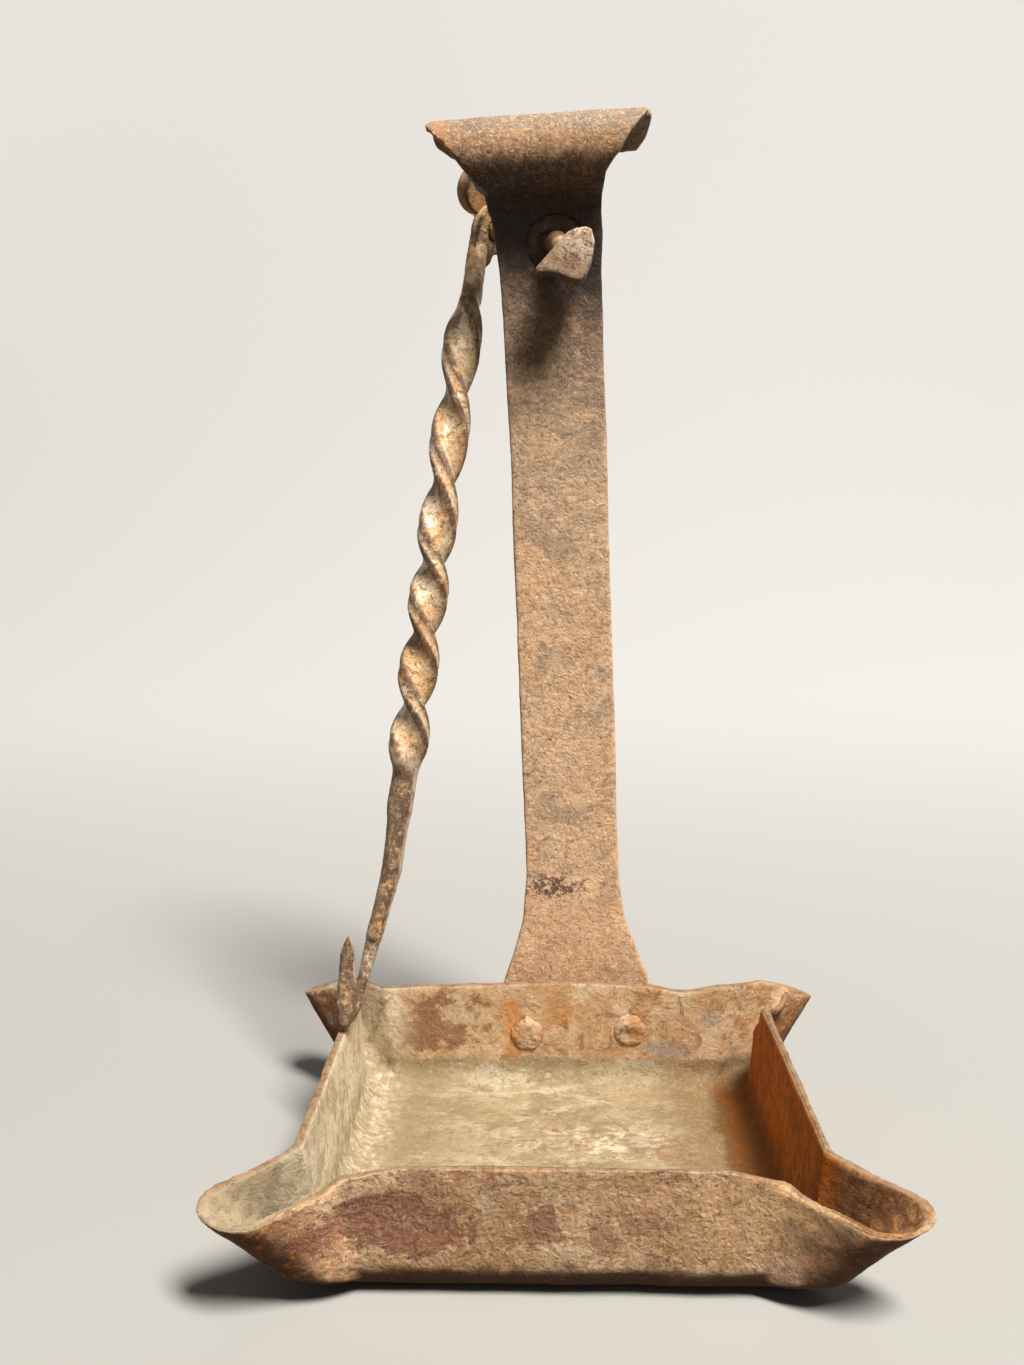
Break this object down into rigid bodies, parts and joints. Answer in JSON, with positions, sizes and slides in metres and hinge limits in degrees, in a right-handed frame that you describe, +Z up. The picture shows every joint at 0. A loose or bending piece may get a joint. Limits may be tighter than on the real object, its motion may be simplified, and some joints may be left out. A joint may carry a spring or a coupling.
{
  "type": "open oil lamp",
  "caption": "Open square iron grease lamp with spouted corners, a tall riveted strap with a rolled top, and a swivelling twisted hanger that ends in a hook.",
  "frame": {"origin": "centre of the tray's flat underside, which stands on the table", "axes": "+Z up along the strap, -Y towards the front rim of the tray, +X to the right seen from the front"},
  "size_m": [0.1372, 0.1361, 0.2489],
  "materials": {
    "tray_iron": "rusted, rough",
    "strap_iron": "rusted, rough",
    "rivet_iron": "rusted, rough",
    "pin_iron": "rusted, rough",
    "hanger_iron": "rusted, rough"
  },
  "bodies": {
    "lamp": {"pan": "tray_iron", "back_arm": "strap_iron", "rivet_left": "rivet_iron", "rivet_right": "rivet_iron"},
    "pin": {"swivel_pin": "pin_iron"},
    "hook_arm": {"hanger": "hanger_iron"}
  },
  "joints": [
    {"name": "pin_swivel", "type": "hinge", "parent": "lamp", "child": "pin", "pos_m": [-0.0006, 0.05294, 0.2178], "axis": [0, 1, 0], "range_deg": [0, 170]},
    {"name": "hanger_swing", "type": "hinge", "parent": "pin", "child": "hook_arm", "pos_m": [-0.01691, 0.07197, 0.22575], "axis": [-0.6203, 0.7237, 0.3024], "range_deg": [0, 60]}
  ]
}
